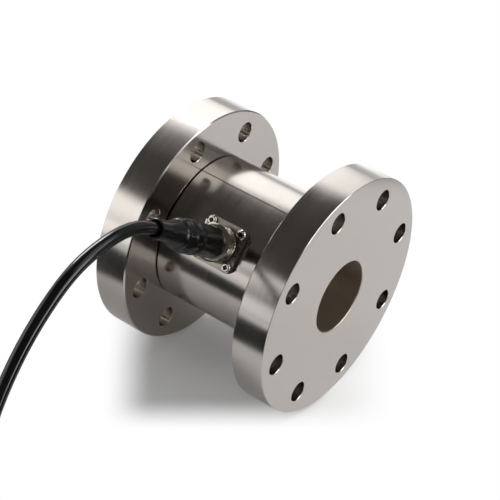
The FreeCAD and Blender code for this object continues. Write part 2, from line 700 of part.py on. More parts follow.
def plug_boot():
    """Shrink boot: wide over the backshell, then a taper to a sleeve round the cable."""
    sleeve_r = BOOT_MOUTH_D / 2 - BOOT_MOUTH_WALL
    neck = BACKSHELL_NECK_D / 2 + SEAT_GAP
    barrel = BACKSHELL_D / 2 + SEAT_GAP
    inside = [
        (BOOT_MOUTH, sleeve_r), (TAPER_END - BOOT_INSIDE_TAPER, sleeve_r), (BACKSHELL_TOP + SEAT_GAP, neck),
        (NECK_START + SEAT_GAP, neck), (NECK_START + SEAT_GAP - BACKSHELL_SLOPE, barrel), (BOOT_START, barrel),
    ]
    return on_connector(revolved(boot_outside() + inside, Z_AXIS))


def connector_point(height):
    y, z = polar(height, CONNECTOR_ANGLE)
    return V(0, y, z + AXIS_Z)


def route():
    """The cable's corners, from the jacket's end inside the plug to the coil."""
    points = [connector_point(CABLE_START), connector_point(CABLE_BEND)]
    points += [V(*p) for p in CABLE_ROUTE]
    points.append(V(coil_entry_x(), COIL_Y + CABLE_D / 2, CABLE_D / 2))
    return points


def coil_entry_x():
    return COIL_X + COIL_MEAN_D / 2 + (COIL_ROWS - 1) / 2.0 * CABLE_D


def rounded_path(points):
    """Straight runs joined by tangent arcs, with the radius of each arc."""
    edges = []
    radii = []
    at = points[0]
    for before, corner, after in zip(points, points[1:], points[2:]):
        back = (before - corner).normalize()
        on = (after - corner).normalize()
        turn = math.pi - back.getAngle(on)
        run = min((before - corner).Length, (after - corner).Length)
        cut = ARC_SHARE * run
        radii.append(cut / math.tan(turn / 2))
        start = corner + back * cut
        end = corner + on * cut
        inward = (back + on).normalize()
        middle = corner + inward * (math.hypot(radii[-1], cut) - radii[-1])
        edges.append(Part.LineSegment(at, start).toShape())
        edges.append(Part.Arc(start, middle, end).toShape())
        at = end
    edges.append(Part.LineSegment(at, points[-1]).toShape())
    return Part.Wire(edges), radii


def cable_run():
    path, radii = rounded_path(route())
    start = path.Edges[0].valueAt(path.Edges[0].FirstParameter)
    heading = path.Edges[0].tangentAt(path.Edges[0].FirstParameter)
    section = Part.Wire(Part.makeCircle(CABLE_D / 2, start, heading))
    run = path.makePipeShell([section], True, True)
    expected = math.pi * CABLE_D ** 2 / 4 * path.Length
    print("cable arc radii:", [round(r, 1) for r in radii])
    print("cable run length %.1f, volume over section times length %.5f" % (path.Length, run.Volume / expected))
    return run


def coil_solid(inset):
    """The outer shape of the wound turns, smaller all round by the inset."""
    low_r = COIL_INNER_R + inset
    high_r = COIL_INNER_R + COIL_WIDTH - inset
    high = COIL_HEIGHT - inset
    c = COIL_ROUND
    ring = revolved([
        (inset, low_r + c), (inset, high_r - c), (inset + c, high_r), (high - c, high_r),
        (high, high_r - c), (high, low_r + c), (high - c, low_r), (inset + c, low_r),
    ], Z_AXIS)
    return ring


def on_coil(shape):
    return shape.translated(V(COIL_X, COIL_Y, 0))


def tie_window():
    start = V(COIL_INNER_R - COIL_WIDTH / 2, -TIE_W / 2, -CUT_OVER)
    window = Part.makeBox(COIL_WIDTH * 2, TIE_W, COIL_HEIGHT * 2, start)
    window.rotate(V(0, 0, 0), Z_AXIS, TIE_ANGLE)
    return window


def tie_band():
    return coil_solid(0).common(tie_window()).cut(coil_solid(TIE_T))


def coil_tie():
    """Strap pulled into the bundle of turns, with its small locking head on top."""
    length, width, height = TIE_HEAD
    start = V(COIL_MEAN_D / 2 - length / 2, -width / 2, COIL_HEIGHT - TIE_T / 2)
    head = Part.makeBox(length, width, height, start)
    head.rotate(V(0, 0, 0), Z_AXIS, TIE_ANGLE)
    return on_coil(joined([tie_band(), head.cut(coil_solid(TIE_T))]))


def inner_turn_r():
    return COIL_MEAN_D / 2 - (COIL_ROWS - 1) / 2.0 * CABLE_D


def end_height():
    return COIL_HEIGHT - CABLE_D / 2


def end_slot():
    """Room on the top inner turn for the stripped end, where the last turn stops short."""
    low_r = inner_turn_r() - END_SLEEVE_D / 2 - COIL_SLACK
    high_r = inner_turn_r() + END_SLEEVE_D / 2 + COIL_SLACK
    low = end_height() - END_SLEEVE_D / 2 - COIL_SLACK
    high = COIL_HEIGHT + CUT_OVER
    span = SLEEVE_ARC + CORE_ARC + END_ROOM
    slot = revolved([(low, low_r), (high, low_r), (high, high_r), (low, high_r)], Z_AXIS, span)
    slot.rotate(V(0, 0, 0), Z_AXIS, END_ANGLE - span)
    return slot


def cable_coil():
    """The wound turns as one solid ring, open where the tie bites and where the bare end lies."""
    return on_coil(coil_solid(0).cut([tie_band(), end_slot()]))


def bent_rod(diameter, radius, height, start, span):
    """A round rod bent about the coil's axis."""
    centre = V(radius, 0, height)
    section = Part.Face(Part.Wire(Part.makeCircle(diameter / 2, centre, V(0, 1, 0))))
    arc = section.revolve(V(0, 0, 0), Z_AXIS, span)
    arc.rotate(V(0, 0, 0), Z_AXIS, start)
    return on_coil(arc)


def end_sleeve():
    return bent_rod(END_SLEEVE_D, inner_turn_r(), end_height(), END_ANGLE - SLEEVE_ARC, SLEEVE_ARC)


def cores():
    """Four insulated cores fanned side by side, each cut a little shorter."""
    made = {}
    for i, name in enumerate(CORES):
        radius = inner_turn_r() + (i - (len(CORES) - 1) / 2.0) * CORE_PITCH
        span = CORE_ARC - i * CORE_ARC_STEP
        made[name] = bent_rod(CORE_D, radius, end_height() - CORE_DROP, END_ANGLE - SLEEVE_ARC - span, span)
    return made


def build():
    socket_half, plain_half = sleeve_halves()
    parts = {
        "torsion_body": torsion_body(),
        "sleeve_socket_half": socket_half,
        "sleeve_plain_half": plain_half,
        "sleeve_screws": sleeve_screws(),
        "front_sealing_ring": sealing_ring(SEAL_X),
        "rear_sealing_ring": sealing_ring(-SEAL_X),
        "strain_gauges": strain_gauges(),
        "terminal_board": terminal_board(),
        "gauge_wires": gauge_wires(),
        "receptacle_gasket": receptacle_gasket(),
        "receptacle_shell": receptacle_shell(),
        "receptacle_insert": receptacle_insert(),
        "receptacle_pins": receptacle_pins(),
        "receptacle_wires": receptacle_wires(),
        "receptacle_screws": plate_screws(),
        "coupling_ring": coupling_ring(),
        "plug_shell": plug_shell(),
        "plug_snap_ring": snap_ring(),
        "plug_insert": plug_insert(),
        "plug_sockets": plug_sockets(),
        "plug_wires": plug_wires(),
        "plug_seal": plug_seal(),
        "plug_backshell": backshell(),
        "cable_grip": cable_grip(),
        "plug_boot": plug_boot(),
        "cable_run": cable_run(),
        "cable_coil": cable_coil(),
        "coil_tie": coil_tie(),
        "end_sleeve": end_sleeve(),
    }
    parts.update(cores())
    return parts


def main():
    os.makedirs("parts", exist_ok=True)
    for node, shape in build().items():
        print("%-20s solids %d valid %s volume %.1f" % (node, len(shape.Solids), shape.isValid(), shape.Volume))
        shape.exportStep("parts/%s.step" % node)


main()
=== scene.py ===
# %% [markdown]
# A flanged static torque sensor lies on the rims of its flanges, on white paper in a photo studio.
# Its metal pieces were drawn and packed as solids, and this lesson dresses them: it gives each one
# the finish of the real piece, and models afresh what a plain solid can't show, such as the cable's
# own turns, the diamond knurl of the coupling ring and the soft boot. Units are metres.

import math

import bmesh
import bpy
from mathutils import Matrix, Vector


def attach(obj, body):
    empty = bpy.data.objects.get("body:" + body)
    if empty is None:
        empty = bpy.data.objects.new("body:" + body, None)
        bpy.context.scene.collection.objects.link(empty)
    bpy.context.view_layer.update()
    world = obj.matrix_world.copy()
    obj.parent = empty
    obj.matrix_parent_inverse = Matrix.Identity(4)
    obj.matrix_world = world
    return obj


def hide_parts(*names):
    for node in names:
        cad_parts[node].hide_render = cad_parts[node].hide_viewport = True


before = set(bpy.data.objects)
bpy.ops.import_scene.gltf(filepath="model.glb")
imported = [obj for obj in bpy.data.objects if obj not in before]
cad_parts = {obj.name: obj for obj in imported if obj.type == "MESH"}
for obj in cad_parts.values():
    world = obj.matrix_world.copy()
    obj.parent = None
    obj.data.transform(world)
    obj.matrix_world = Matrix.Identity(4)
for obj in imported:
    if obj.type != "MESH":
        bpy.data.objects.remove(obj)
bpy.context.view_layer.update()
print("packed pieces:", len(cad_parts))

# %% [markdown]
# ## Sizes shared with the solids
# A few sizes of the solids are needed again. They are written once here, in millimetres times MM.

# %% Shared sizes
MM = 0.001
AXIS_Z = 52.5 * MM          # the sensor's axis over the floor
CONNECTOR_ANGLE = math.radians(136.5)
CONNECTOR_AXIS = Vector((0, math.cos(CONNECTOR_ANGLE), math.sin(CONNECTOR_ANGLE)))
RING_BACK = 34.6 * MM       # heights along the connector, from the sensor's axis
RING_TOP = 40.8 * MM
BOOT_START = 41.6 * MM
BOOT_MOUTH = 86.6 * MM
CABLE_START = 49.0 * MM
CABLE_MIDDLE = 74.0 * MM    # a point of the cable inside the boot
CABLE_D = 5.3 * MM
COIL_CENTRE = Vector((-4.0, -252.0, 0.0)) * MM
COIL_MEAN_R = 30.0 * MM


def connector_point(height):
    return Vector((0, 0, AXIS_Z)) + CONNECTOR_AXIS * height


# %% [markdown]
# ## The camera
# The photo was taken from above and to the right, with a long lens. A camera that looks down by the
# same angle, turned by the same amount, shows the same ellipses, so it is placed by angles and lens.

# %% Camera
CAMERA_PLACE = (0.3108, -0.4075, 0.5394)
CAMERA_DOWN = 43.44         # degrees below the horizon
CAMERA_TURN = 37.65         # degrees from +Y
CAMERA_LENS = 122.26        # millimetres, on a sensor of this width
CAMERA_SENSOR = 36.0


def set_camera():
    data = bpy.data.cameras.new("photo_camera")
    data.lens = CAMERA_LENS
    data.sensor_width = CAMERA_SENSOR
    camera = bpy.data.objects.new("photo_camera", data)
    camera.location = CAMERA_PLACE
    camera.rotation_euler = (math.radians(90 - CAMERA_DOWN), 0, math.radians(CAMERA_TURN))
    bpy.context.scene.collection.objects.link(camera)
    bpy.context.scene.camera = camera


set_camera()
print("camera looks down by", CAMERA_DOWN, "degrees")

# %% [markdown]
# ## Shader maths
# Materials here are small formulas: a mask times a colour, or a grain added to a roughness.
# Wrapping a socket in a class with operators lets them be written that way. Numbers alone are worked
# out in Python, and only what varies over the surface becomes a node.

# %% Sockets as numbers


class Value:
    """One output of a node, so that masks can be added and multiplied."""

    def __init__(self, nodes, socket):
        self.nodes = nodes
        self.socket = socket

    def math(self, operation, first, second):
        return self.nodes.add("ShaderNodeMath", {"operation": operation}, {0: first, 1: second})

    def __add__(self, other):
        return self.math("ADD", self, other)

    def __radd__(self, other):
        return self.math("ADD", other, self)

    def __sub__(self, other):
        return self.math("SUBTRACT", self, other)

    def __rsub__(self, other):
        return self.math("SUBTRACT", other, self)

    def __mul__(self, other):
        return self.math("MULTIPLY", self, other)

    def __rmul__(self, other):
        return self.math("MULTIPLY", other, self)

    def __truediv__(self, other):
        return self.math("DIVIDE", self, other)

    def __abs__(self):
        return self.nodes.add("ShaderNodeMath", {"operation": "ABSOLUTE"}, {0: self})

    def ramp(self, low, high, start=0.0, end=1.0):
        """A smooth step from start to end as this value goes from low to high."""
        return self.nodes.add(
            "ShaderNodeMapRange", {"interpolation_type": "SMOOTHSTEP"},
            {0: self, 1: low, 2: high, 3: start, 4: end})


class Nodes:
    """A node tree that is filled by name."""

    def __init__(self, owner):
        owner.use_nodes = True
        self.tree = owner.node_tree
        self.tree.nodes.clear()

    def add(self, kind, settings, sockets, output=0):
        node = self.tree.nodes.new(kind)
        for name, setting in settings.items():
            setattr(node, name, setting)
        for name, value in sockets.items():
            if isinstance(value, Value):
                self.tree.links.new(value.socket, node.inputs[name])
            else:
                node.inputs[name].default_value = value
        return Value(self, node.outputs[output])

    def place(self):
        """Object coordinates, as a vector and as its three numbers."""
        vector = self.add("ShaderNodeTexCoord", {}, {}, "Object")
        return vector, self.split(vector)

    def split(self, vector):
        node = self.add("ShaderNodeSeparateXYZ", {}, {0: vector}).socket.node
        return [Value(self, node.outputs[i]) for i in range(3)]

    def join(self, x, y, z):
        return self.add("ShaderNodeCombineXYZ", {}, {0: x, 1: y, 2: z})

    def length(self, x, y, z=0.0):
        """The length of the vector with these parts."""
        vector = self.join(x, y, z)
        return self.add("ShaderNodeVectorMath", {"operation": "LENGTH"}, {0: vector}, "Value")

    def noise(self, vector, scale, detail=2.0, rough=0.5):
        sockets = {"Vector": vector, "Scale": scale, "Detail": detail, "Roughness": rough}
        return self.add("ShaderNodeTexNoise", {}, sockets)

    def mix(self, factor, first, second):
        return self.add("ShaderNodeMix", {"data_type": "RGBA"}, {0: factor, 6: first, 7: second}, 2)

    def bump(self, height, depth, over=None):
        """A bump that deep in metres, over another one if that is given."""
        sockets = {"Height": height, "Strength": 1.0, "Distance": depth}
        if over is not None:
            sockets["Normal"] = over
        return self.add("ShaderNodeBump", {}, sockets)

    def finish(self, shader, kind="ShaderNodeOutputMaterial"):
        node = self.tree.nodes.new(kind)
        self.tree.links.new(shader.socket, node.inputs["Surface"])


def opaque(colour, gain=1.0, lift=0.0):
    """A colour with its alpha, made darker or lighter if that is asked for."""
    return tuple(min(part * gain + lift, 1.0) for part in colour) + (1.0,)


def grey(level):
    return opaque((level, level, level))


print("shader helpers ready")

# %% [markdown]
# ## The studio
# Bare metal shows the room more than itself, so the room is half of its finish. In the photo the
# rims carry the same bands from top to bottom: a bright sheet behind and to the left, a dark ceiling, a
# softer panel at the front left, a dark strip at the horizon, and the white paper below. A window and
# small lamps draw the thin bright crescents in the bolt holes. The world is painted by direction to
# match. Only shiny surfaces see it: lamps light the matt ones, so that the two can be set apart. The
# camera itself sees plain white past the paper.

# %% Light of the room
SHEET = 1.90                    # brightness of the sheet behind, where it is brightest
SHEET_TOP = (0.77, 0.57)        # height of its soft upper edge
SHEET_TILT = 1.10               # that edge falls towards the right
SHEET_FOOT = (-0.10, 0.25, 0.65, 1.0)   # it is dimmer low down
SHEET_SIDES = ((-0.37, -0.43, 0.20, 1.0), (-0.62, -0.52, 0.46, 1.0))    # and to its right and left
SHEET_FRONT = (-0.05, 0.15)     # it stands behind the object
SHEET_END = (-0.20, -0.34)      # and ends there on the right
PANEL = 1.65                    # brightness of the softer panel at the front left
PANEL_TOP = (0.62, 0.50)
PANEL_TILT = 0.3
PANEL_FOOT = (0.0, 0.40, 0.45, 1.0)
PANEL_SIDES = (0.857, 0.934)
FRONT_LEFT = 215.0              # degrees round from +X
TILT_PLACE = -0.46              # where the tilted edges have their stated height
HORIZON = (-0.03, -0.005)
NO_FOOT = (-3.0, -2.0)          # for a patch without a lower edge
WALL_TOP = (0.62, 0.52)
LEFT_WALL = (168.0, (0.707, 0.82), NO_FOOT, WALL_TOP, 0.68)     # as a row of the patches
LEFT_WALL_END = (-0.60, -0.75)
PATCHES = {                     # degrees round, how squarely faced, lower and upper edge, brightness
    "right_wall": (50.0, (0.45, 0.65), NO_FOOT, WALL_TOP, 0.30),
    "front_of_room": (310.0, (0.4, 0.8), NO_FOOT, (0.45, 0.25), 0.10),
    "front_strip": (FRONT_LEFT, (0.755, 0.857), HORIZON, (0.26, 0.14), 0.85),
    "high_box": (45.0, (0.80, 0.95), (0.40, 0.72), (0.89, 0.855), 1.30),
    "window": (24.0, (0.88, 0.93), (0.32, 0.37), (0.55, 0.50), 4.5),
    "low_right_lamp": (10.0, (0.94, 0.965), (-0.02, 0.02), (0.32, 0.24), 7.0),
    "high_left_lamp": (146.0, (0.954, 0.972), (0.28, 0.38), (0.61, 0.53), 15.0),
}
ROOM_DARK = (0.062, 0.059, 0.052)


def towards(nodes, x, y, degrees):
    """1 in that direction round the object, falling to -1 opposite."""
    facing = x * math.cos(math.radians(degrees)) + y * math.sin(math.radians(degrees))
    return facing / nodes.length(x, y)


def sheet(place):
    """The light of the sheet behind."""
    x, y, z = place
    edge = z + (x - TILT_PLACE) * SHEET_TILT
    light = edge.ramp(*SHEET_TOP) * z.ramp(*SHEET_FOOT) * y.ramp(*SHEET_FRONT) * x.ramp(*SHEET_END)
    for side in SHEET_SIDES:
        light = light * x.ramp(*side)
    return light * SHEET


def front_panel(nodes, place):
    """The light of the softer panel at the front left."""
    x, y, z = place
    edge = z + (x - TILT_PLACE) * PANEL_TILT
    facing = towards(nodes, x, y, FRONT_LEFT).ramp(*PANEL_SIDES)
    return edge.ramp(*PANEL_TOP) * z.ramp(*PANEL_FOOT) * z.ramp(*HORIZON) * facing * PANEL


def patch(nodes, place, degrees, sides, foot, top, brightness):
    """The light of one patch of the room, with soft edges."""
    x, y, z = place
    return towards(nodes, x, y, degrees).ramp(*sides) * z.ramp(*foot) * z.ramp(*top) * brightness


def room_light(nodes, place):
    left_end = place[0].ramp(*LEFT_WALL_END)
    level = sheet(place) + front_panel(nodes, place) + patch(nodes, place, *LEFT_WALL) * left_end
    for row in PATCHES.values():
        level = level + patch(nodes, place, *row)
    return level


print("patches of light:", len(PATCHES))

# %% World


def paint_world():
    world = bpy.data.worlds.new("studio")
    bpy.context.scene.world = world
    nodes = Nodes(world)
    place = nodes.split(nodes.add("ShaderNodeTexCoord", {}, {}, "Generated"))
    sockets = {"Color": grey(1.0), "Strength": room_light(nodes, place)}
    lights = nodes.add("ShaderNodeBackground", {}, sockets)
    dark = nodes.add("ShaderNodeBackground", {}, {"Color": opaque(ROOM_DARK), "Strength": 1.0})
    studio = nodes.add("ShaderNodeAddShader", {}, {0: lights, 1: dark})
    white = nodes.add("ShaderNodeBackground", {}, {"Color": grey(1.0), "Strength": 1.0})
    seen = nodes.add("ShaderNodeLightPath", {}, {}, "Is Camera Ray")
    both = nodes.add("ShaderNodeMixShader", {}, {0: seen, 1: studio, 2: white})
    nodes.finish(both, "ShaderNodeOutputWorld")
    world.cycles_visibility.diffuse = False


paint_world()
print("world painted:", bpy.context.scene.world.name)

# %% [markdown]
# ## The paper and the lamps
# The paper is white. The lamps give the soft shadows, below and in front of the sensor and round the
# coil. They are kept out of reflections, where the patches of the world already stand for them. Away
# from the shadows the camera sees the paper as plain white, as in the photo. In reflections the paper
# near the object is the lit one, and further out it is bright behind and to the left only, as the
# studio is.

# %% Light on the paper
SHADOW_LOW = (0.023, 0.036)     # how far the shadow reaches down the picture
SHADOW_HIGH = (-0.020, -0.008)  # and up it
SHADOW_LEFT = (-0.066, -0.044)  # and to its left
SHADOW_RIGHT = (0.026, 0.060)   # and to its right
COIL_SHADOW = (0.045, 0.065)    # radius of the shadow round the coil
PICTURE_DOWN = (0.42, -0.5444)  # the picture's own directions, laid on the floor
PICTURE_RIGHT = (0.7918, 0.6108)
REACH_X = 0.015                 # the radii below are taken from here
OUTER_DARK = 0.03               # glow of the outer paper where none of the terms below adds to it
OUTER_PAPER = (                 # degrees round, how squarely faced, brightness between two radii
    (160.0, (0.2, 0.6), (0.0, 1.0, 0.40, 0.40)),
    (122.0, (0.89, 0.97), (0.15, 0.50, 0.85, 0.12)),
    (60.0, (0.3, 0.8), (0.0, 1.0, 0.17, 0.17)),
    (252.0, (0.80, 0.94), (0.5, 0.8, 0.0, 0.85)),
)


def shadow_mask(nodes, x, y):
    """1 in the shadows that the camera sees, of the sensor and of the coil, and 0 elsewhere."""
    down = x * PICTURE_DOWN[0] + y * PICTURE_DOWN[1]
    sideways = x * PICTURE_RIGHT[0] + y * PICTURE_RIGHT[1]
    shadow = down.ramp(*SHADOW_LOW, 1.0, 0.0) * down.ramp(*SHADOW_HIGH)
    shadow = shadow * sideways.ramp(*SHADOW_LEFT) * sideways.ramp(*SHADOW_RIGHT, 1.0, 0.0)
    from_coil = nodes.length(x - COIL_CENTRE.x, y - COIL_CENTRE.y)
    return shadow + from_coil.ramp(*COIL_SHADOW, 1.0, 0.0)


def outer_light(nodes, x, y, reach):
    """The painted glow that reflections show of the paper far from the object."""
    level = OUTER_DARK
    for degrees, sides, brightness in OUTER_PAPER:
        level = level + towards(nodes, x, y, degrees).ramp(*sides) * reach.ramp(*brightness)
    return level


print("lit directions of the outer paper:", len(OUTER_PAPER))

# %% Paper
PAPER_SIZE = 2.5
PAPER_SINK = 0.2 * MM           # the paper lies that much below the sensor
PAPER_GREY = 0.93
PAPER_ROUGH = 0.9
PAPER_SHEEN = 0.1
SHADOW_LIFT = 0.09              # share of plain white that is left inside the shadows
NEAR_PAPER = (0.14, 0.165)      # radius of the lit paper in reflections


def paper_material():
    material = bpy.data.materials.new("white_paper")
    nodes = Nodes(material)
    _, (x, y, _) = nodes.place()
    look = {"Base Color": grey(PAPER_GREY), "Roughness": PAPER_ROUGH, "Specular IOR Level": PAPER_SHEEN}
    lit = nodes.add("ShaderNodeBsdfPrincipled", {}, look)
    bright = nodes.add("ShaderNodeEmission", {}, {"Color": grey(1.0), "Strength": 1.0})
    reach = nodes.length(x - REACH_X, y)
    light = outer_light(nodes, x, y, reach)
    # in reflections the paper far from the object glows with painted light
    outer = nodes.add("ShaderNodeEmission", {}, {"Color": light, "Strength": 1.0})
    camera = nodes.add("ShaderNodeLightPath", {}, {}, "Is Camera Ray")
    glossy = nodes.add("ShaderNodeLightPath", {}, {}, "Is Glossy Ray")
    share = camera * (1 - shadow_mask(nodes, x, y) * (1 - SHADOW_LIFT))
    seen = nodes.add("ShaderNodeMixShader", {}, {0: share, 1: lit, 2: bright})
    far = glossy * reach.ramp(*NEAR_PAPER)
    nodes.finish(nodes.add("ShaderNodeMixShader", {}, {0: far, 1: seen, 2: outer}))
    return material


def lay_paper():
    mesh = bpy.data.meshes.new("paper")
    form = bmesh.new()
    bmesh.ops.create_grid(form, x_segments=1, y_segments=1, size=PAPER_SIZE)
    bmesh.ops.translate(form, vec=(0.0, 0.0, -PAPER_SINK), verts=form.verts)
    form.to_mesh(mesh)
    form.free()
    paper = bpy.data.objects.new("paper", mesh)
    bpy.context.scene.collection.objects.link(paper)
    mesh.materials.append(paper_material())


lay_paper()
print("paper laid, metres across:", 2 * PAPER_SIZE)

# %% Lamps
LAMP_TARGET = (0, 0, 0.03)
LAMPS = {                       # place, side and power
    "right_back_lamp": ((0.6, 0.6, 0.9), 0.5, 9.1),
    "right_lamp": ((0.9, 0.1, 0.5), 0.5, 1.2),
    "left_back_lamp": ((-0.8, 0.5, 0.8), 0.6, 2.1),
    "front_left_lamp": ((-0.7, -0.6, 0.9), 0.6, 1.5),
    "front_lamp": ((0.3, -0.9, 0.9), 0.6, 1.4),
    "top_lamp": ((0.1, 0.1, 1.2), 1.0, 3.2),
}


def hang_lamp(name, place, side, power):
    data = bpy.data.lights.new(name, "AREA")
    data.size = side
    data.energy = power
    lamp = bpy.data.objects.new(name, data)
    lamp.location = place
    aim = Vector(LAMP_TARGET) - Vector(place)
    lamp.rotation_euler = aim.to_track_quat("-Z", "Y").to_euler()
    lamp.visible_glossy = False
    bpy.context.scene.collection.objects.link(lamp)


for name, (place, side, power) in LAMPS.items():
    hang_lamp(name, place, side, power)
print("lamps in place:", len(LAMPS))

# %% [markdown]
# ## The cable
# The cable is black plastic, 5.3 mm thick, and stiff enough to hold a bow. It leaves the boot, rises
# a little, comes down beyond the picture's left edge and ends in a neat tied coil. One curve of one
# spline carries it all, so that its length is the real one. The free stretch has the listed
# corners of the solid's route, and the coil's turns are worked out by a loop.

# %% Cable route
ROUTE = [                   # millimetres, after the boot
    (0.0, -96.5, 125.6),
    (0.0, -114.5, 121.6),
    (0.5, -138.0, 107.3),
    (3.5, -160.0, 88.0),
    (9.5, -178.5, 62.5),
    (16.5, -193.5, 36.0),
    (24.0, -212.5, 12.5),
    (30.0, -236.0, 2.65),
]
ROUTE_BEND = 101.0 * MM     # the route's first corner, just past the boot's mouth
# The column and the row of each turn in the bundle, from the first turn to the last.
PLACES = [(1, 0), (0, 0), (-1, 0), (-1, 1), (0, 1), (1, 1), (1, 2), (0, 2), (-1, 2)]
POINTS_PER_TURN = 24
TURNS = 8.7
STEP_SHARE = 0.30           # share of a turn in which it moves over to its next place
SPLINE_SHRINK = 0.9915      # such a spline runs that much inside its points
SPLINE_ORDER = 3
SPLINE_STEPS = 5
TIE_ANGLE = math.radians(200.0)
TIE_LIFT = 1.1 * MM         # the strap passes under the turns
TIE_REACH = math.radians(30.0)


def smooth(share):
    share = min(max(share, 0.0), 1.0)
    return share * share * (3 - 2 * share)


def tie_lift(angle):
    away = abs((angle - TIE_ANGLE + math.pi) % (2 * math.pi) - math.pi)
    return TIE_LIFT * (1 - smooth(away / TIE_REACH))


def coil_point(turn):
    """A point of the wound cable after that many turns, clockwise from above."""
    index = min(int(turn), len(PLACES) - 1)
    following = min(index + 1, len(PLACES) - 1)
    share = smooth((turn - index - (1 - STEP_SHARE)) / STEP_SHARE)
    column = PLACES[index][0] + (PLACES[following][0] - PLACES[index][0]) * share
    row = PLACES[index][1] + (PLACES[following][1] - PLACES[index][1]) * share
    angle = -2 * math.pi * turn
    radius = (COIL_MEAN_R + column * CABLE_D) / SPLINE_SHRINK
    height = CABLE_D * (row + 0.5) + tie_lift(angle)
    return COIL_CENTRE + Vector((radius * math.cos(angle), radius * math.sin(angle), height))


def cable_points():
    points = [connector_point(CABLE_START), connector_point(CABLE_MIDDLE), connector_point(ROUTE_BEND)]
    points += [Vector(p) * MM for p in ROUTE]
    count = int(TURNS * POINTS_PER_TURN)
    return points + [coil_point(i / POINTS_PER_TURN) for i in range(count + 1)]


def spline_curve(name, points, diameter, sides=8):
    """A round cord on one smooth open spline."""
    curve = bpy.data.curves.new(name, "CURVE")
    curve.dimensions = "3D"
    spline = curve.splines.new("NURBS")
    spline.points.add(len(points) - 1)
    for control, point in zip(spline.points, points):
        control.co = (*point, 1.0)
        control.radius = diameter / 2
    spline.order_u = SPLINE_ORDER
    spline.use_endpoint_u = True
    curve.resolution_u = SPLINE_STEPS
    curve.bevel_depth = 1.0     # times the points' own radius
    curve.bevel_resolution = sides
    curve.use_fill_caps = True
    piece = bpy.data.objects.new(name, curve)
    bpy.context.scene.collection.objects.link(piece)
    return piece


cable = spline_curve("signal_cable", cable_points(), CABLE_D)
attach(cable, "sensor")
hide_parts("cable_run", "cable_coil")
print("cable points:", len(cable_points()))

# %% [markdown]
# ## Helpers for turned pieces
# Most new pieces are turned or moulded round an axis: an outline is spun about Z and then set on the
# connector's axis. The small breaks at its corners are drawn in the outline itself.

# %% Turned pieces
SMOOTH_ANGLE = math.radians(35)
MERGE = 1e-7


def in_metres(corners):
    """Corners of an outline, from millimetres."""
    return [(height * MM, radius * MM) for height, radius in corners]


def new_piece(name, form, carrier, replaced):
    """Makes a finished piece from a mesh form, smooth where its faces meet at shallow angles."""
    mesh = bpy.data.meshes.new(name)
    form.to_mesh(mesh)
    form.free()
    piece = bpy.data.objects.new(name, mesh)
    bpy.context.scene.collection.objects.link(piece)
    mesh.shade_smooth()
    mesh.set_sharp_from_angle(angle=SMOOTH_ANGLE)
    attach(piece, carrier)
    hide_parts(replaced)
    return piece


def spun(outline, steps):
    """A closed form of revolution from (height, radius) corners, about Z."""
    form = bmesh.new()
    corners = [form.verts.new((radius, 0, height)) for height, radius in outline]
    ring = [form.edges.new((corners[i], corners[(i + 1) % len(corners)])) for i in range(len(corners))]
    bmesh.ops.spin(form, geom=corners + ring, cent=(0, 0, 0), axis=(0, 0, 1), angle=2 * math.pi,
                   steps=steps, use_merge=True)
    bmesh.ops.remove_doubles(form, verts=form.verts, dist=MERGE)
    bmesh.ops.recalc_face_normals(form, faces=form.faces)
    return form


def on_connector(form):
    """Turns a form drawn upright on Z on to the connector's axis."""
    turn = Matrix.Rotation(CONNECTOR_ANGLE - math.pi / 2, 4, "X")
    bmesh.ops.transform(form, matrix=Matrix.Translation((0, 0, AXIS_Z)) @ turn, verts=form.verts)
    return form


print("turning helpers ready")

# %% [markdown]
# ## The flanged body
# The body keeps its shape from the model. On the real one the bolt holes, the bore and the rims of
# the two outer faces are only deburred, so their chamfers are finer than the model's. A merged copy
# of its mesh is taken, and the two rings of points of each chamfer are moved: one along the face, the
# other towards the face.

# %% Flanged body
BOLT_CIRCLE_R = 43.0 * MM
BOLT_HOLES = 8
BOLT_PHASE = math.radians(5.0)
BOLT_HOLE_R = 4.5 * MM
HOLE_CHAMFERS = (0.4 * MM, 0.16 * MM)   # the model's and the finer one
BORE_R = 16.0 * MM
BORE_CHAMFERS = (1.0 * MM, 0.30 * MM)
FLANGE_R = 52.5 * MM
RIM_CHAMFERS = (-0.5 * MM, -0.15 * MM)  # below zero: a rim's chamfer is inside its circle
FLANGE_FACES = (27.5 * MM, 42.5 * MM)
OUTER_STOCK = 35.0 * MM         # further out along x than this is the outer half of a flange
NEAR = 0.02 * MM                # a point that close to a circle or a face is on it
SEAM = 1e-6                     # points of the loose triangles that are closer are one point


def from_hole(place):
    """The vector in the flange's plane from the nearest bolt hole's axis to a place."""
    step = 2 * math.pi / BOLT_HOLES
    turn = math.atan2(place.z - AXIS_Z, place.y)
    turn = round((turn - BOLT_PHASE) / step) * step + BOLT_PHASE
    hole = Vector((0.0, BOLT_CIRCLE_R * math.cos(turn), BOLT_CIRCLE_R * math.sin(turn) + AXIS_Z))
    return Vector((0.0, place.y, place.z)) - hole


def deburr(vert, away, radius, chamfers):
    """Moves a point of a circle's chamfer to where the finer chamfer has it. Other points stay."""
    old, fine = chamfers
    face = min(FLANGE_FACES, key=lambda x: abs(abs(vert.co.x) - x))
    depth = abs(vert.co.x) - face
    if abs(depth) < NEAR and abs(away.length - radius - old) < NEAR:
        vert.co -= away.normalized() * (old - fine)
        return 1
    if abs(abs(depth) - abs(old)) < NEAR and abs(away.length - radius) < NEAR:
        vert.co.x = math.copysign(face + math.copysign(fine, depth), vert.co.x)
        return 1
    return 0


